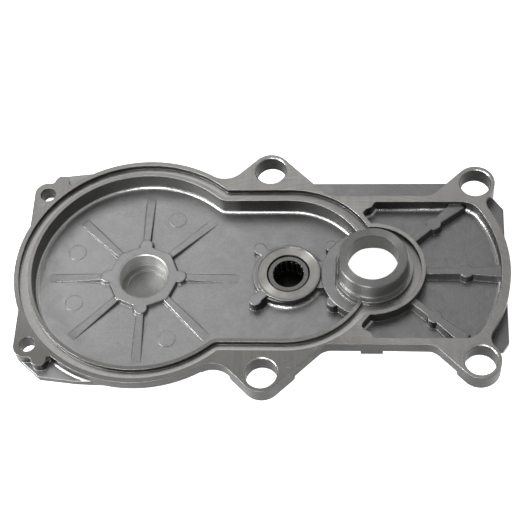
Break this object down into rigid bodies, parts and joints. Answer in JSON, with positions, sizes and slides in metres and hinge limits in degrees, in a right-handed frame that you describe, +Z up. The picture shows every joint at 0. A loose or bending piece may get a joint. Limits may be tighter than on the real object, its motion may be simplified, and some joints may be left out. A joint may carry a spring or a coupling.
{
  "type": "gear housing half",
  "caption": "Die cast aluminium gear housing half: sealed gear chamber, raised output collar, blind bearing seat, needle bearing hub, ribbed end pocket, bolt lugs and ears.",
  "frame": {"origin": "under the middle of the part, on the plane it rests on", "axes": "+X from the big gear's seat towards the output collar, +Y across, +Z up out of the open gear side, parallel to the shaft axes"},
  "size_m": [0.2602, 0.1438, 0.0356],
  "materials": {
    "casting": "satin",
    "bearing_steel": "satin",
    "cage_steel": "satin",
    "needle_steel": "polished"
  },
  "bodies": {
    "housing": {"housing": "casting", "bearing_cup": "bearing_steel"},
    "cage": {"bearing_cage": "cage_steel"},
    "roller_01": {"needle_01": "needle_steel"},
    "roller_02": {"needle_02": "needle_steel"},
    "roller_03": {"needle_03": "needle_steel"},
    "roller_04": {"needle_04": "needle_steel"},
    "roller_05": {"needle_05": "needle_steel"},
    "roller_06": {"needle_06": "needle_steel"},
    "roller_07": {"needle_07": "needle_steel"},
    "roller_08": {"needle_08": "needle_steel"},
    "roller_09": {"needle_09": "needle_steel"},
    "roller_10": {"needle_10": "needle_steel"},
    "roller_11": {"needle_11": "needle_steel"},
    "roller_12": {"needle_12": "needle_steel"},
    "roller_13": {"needle_13": "needle_steel"},
    "roller_14": {"needle_14": "needle_steel"},
    "roller_15": {"needle_15": "needle_steel"},
    "roller_16": {"needle_16": "needle_steel"},
    "roller_17": {"needle_17": "needle_steel"},
    "roller_18": {"needle_18": "needle_steel"}
  },
  "joints": [
    {"name": "cage_spin", "type": "hinge", "parent": "housing", "child": "cage", "pos_m": [0.0148, 0, 0.0128], "axis": [0, 0, 1], "continuous": true},
    {"name": "roller_01_spin", "type": "hinge", "parent": "cage", "child": "roller_01", "pos_m": [0.0238, 0, 0.0128], "axis": [0, 0, 1], "continuous": true},
    {"name": "roller_02_spin", "type": "hinge", "parent": "cage", "child": "roller_02", "pos_m": [0.02326, 0.00308, 0.0128], "axis": [0, 0, 1], "continuous": true},
    {"name": "roller_03_spin", "type": "hinge", "parent": "cage", "child": "roller_03", "pos_m": [0.02169, 0.00579, 0.0128], "axis": [0, 0, 1], "continuous": true},
    {"name": "roller_04_spin", "type": "hinge", "parent": "cage", "child": "roller_04", "pos_m": [0.0193, 0.00779, 0.0128], "axis": [0, 0, 1], "continuous": true},
    {"name": "roller_05_spin", "type": "hinge", "parent": "cage", "child": "roller_05", "pos_m": [0.01636, 0.00886, 0.0128], "axis": [0, 0, 1], "continuous": true},
    {"name": "roller_06_spin", "type": "hinge", "parent": "cage", "child": "roller_06", "pos_m": [0.01324, 0.00886, 0.0128], "axis": [0, 0, 1], "continuous": true},
    {"name": "roller_07_spin", "type": "hinge", "parent": "cage", "child": "roller_07", "pos_m": [0.0103, 0.00779, 0.0128], "axis": [0, 0, 1], "continuous": true},
    {"name": "roller_08_spin", "type": "hinge", "parent": "cage", "child": "roller_08", "pos_m": [0.00791, 0.00579, 0.0128], "axis": [0, 0, 1], "continuous": true},
    {"name": "roller_09_spin", "type": "hinge", "parent": "cage", "child": "roller_09", "pos_m": [0.00634, 0.00308, 0.0128], "axis": [0, 0, 1], "continuous": true},
    {"name": "roller_10_spin", "type": "hinge", "parent": "cage", "child": "roller_10", "pos_m": [0.0058, 0, 0.0128], "axis": [0, 0, 1], "continuous": true},
    {"name": "roller_11_spin", "type": "hinge", "parent": "cage", "child": "roller_11", "pos_m": [0.00634, -0.00308, 0.0128], "axis": [0, 0, 1], "continuous": true},
    {"name": "roller_12_spin", "type": "hinge", "parent": "cage", "child": "roller_12", "pos_m": [0.00791, -0.00579, 0.0128], "axis": [0, 0, 1], "continuous": true},
    {"name": "roller_13_spin", "type": "hinge", "parent": "cage", "child": "roller_13", "pos_m": [0.0103, -0.00779, 0.0128], "axis": [0, 0, 1], "continuous": true},
    {"name": "roller_14_spin", "type": "hinge", "parent": "cage", "child": "roller_14", "pos_m": [0.01324, -0.00886, 0.0128], "axis": [0, 0, 1], "continuous": true},
    {"name": "roller_15_spin", "type": "hinge", "parent": "cage", "child": "roller_15", "pos_m": [0.01636, -0.00886, 0.0128], "axis": [0, 0, 1], "continuous": true},
    {"name": "roller_16_spin", "type": "hinge", "parent": "cage", "child": "roller_16", "pos_m": [0.0193, -0.00779, 0.0128], "axis": [0, 0, 1], "continuous": true},
    {"name": "roller_17_spin", "type": "hinge", "parent": "cage", "child": "roller_17", "pos_m": [0.02169, -0.00579, 0.0128], "axis": [0, 0, 1], "continuous": true},
    {"name": "roller_18_spin", "type": "hinge", "parent": "cage", "child": "roller_18", "pos_m": [0.02326, -0.00308, 0.0128], "axis": [0, 0, 1], "continuous": true}
  ],
  "couplings": [
    {"joint": "roller_01_spin", "follows": "cage_spin", "ratio": -10.101},
    {"joint": "roller_02_spin", "follows": "cage_spin", "ratio": -10.101},
    {"joint": "roller_03_spin", "follows": "cage_spin", "ratio": -10.101},
    {"joint": "roller_04_spin", "follows": "cage_spin", "ratio": -10.101},
    {"joint": "roller_05_spin", "follows": "cage_spin", "ratio": -10.101},
    {"joint": "roller_06_spin", "follows": "cage_spin", "ratio": -10.101},
    {"joint": "roller_07_spin", "follows": "cage_spin", "ratio": -10.101},
    {"joint": "roller_08_spin", "follows": "cage_spin", "ratio": -10.101},
    {"joint": "roller_09_spin", "follows": "cage_spin", "ratio": -10.101},
    {"joint": "roller_10_spin", "follows": "cage_spin", "ratio": -10.101},
    {"joint": "roller_11_spin", "follows": "cage_spin", "ratio": -10.101},
    {"joint": "roller_12_spin", "follows": "cage_spin", "ratio": -10.101},
    {"joint": "roller_13_spin", "follows": "cage_spin", "ratio": -10.101},
    {"joint": "roller_14_spin", "follows": "cage_spin", "ratio": -10.101},
    {"joint": "roller_15_spin", "follows": "cage_spin", "ratio": -10.101},
    {"joint": "roller_16_spin", "follows": "cage_spin", "ratio": -10.101},
    {"joint": "roller_17_spin", "follows": "cage_spin", "ratio": -10.101},
    {"joint": "roller_18_spin", "follows": "cage_spin", "ratio": -10.101}
  ]
}
